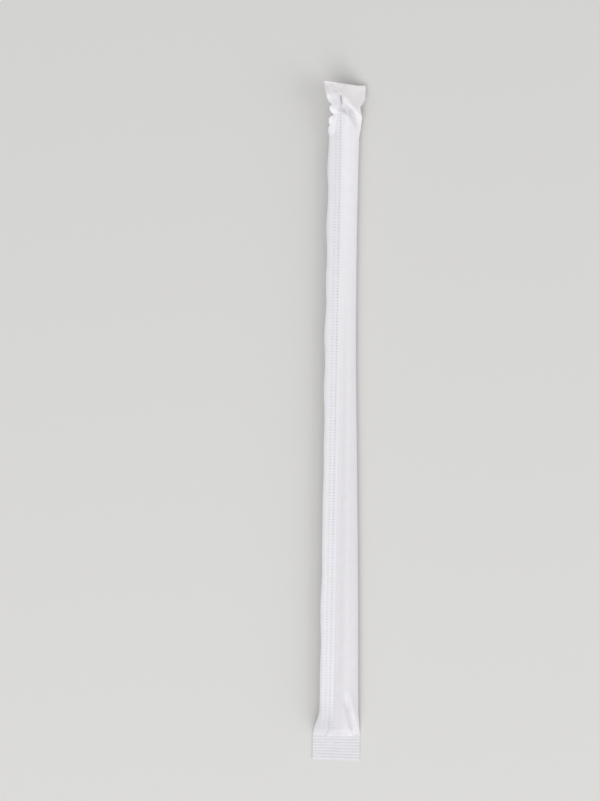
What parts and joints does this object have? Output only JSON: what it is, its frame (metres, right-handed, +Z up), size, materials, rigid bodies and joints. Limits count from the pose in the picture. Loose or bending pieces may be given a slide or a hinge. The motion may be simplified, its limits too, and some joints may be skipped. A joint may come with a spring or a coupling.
{
  "type": "wrapped drinking straw",
  "caption": "Straight drinking straw sealed in a white paper sleeve, with ribbed crimped ends and a long sealed fin down one side.",
  "frame": {"origin": "on the surface that the straw lies on, under the middle of the straw's axis, halfway between the two crimps", "axes": "+Y along the straw towards the end whose crimp stands clear of the surface, turned down to the right, +X towards the folded side of the sleeve with the sealed fin at -X, +Z up from the surface"},
  "size_m": [0.015, 0.216, 0.0081],
  "materials": {
    "sleeve_paper": "matt uncoated white wrapping paper, heat sealed"
  },
  "bodies": {
    "root": {"wrapped_straw": "sleeve_paper"}
  },
  "joints": []
}
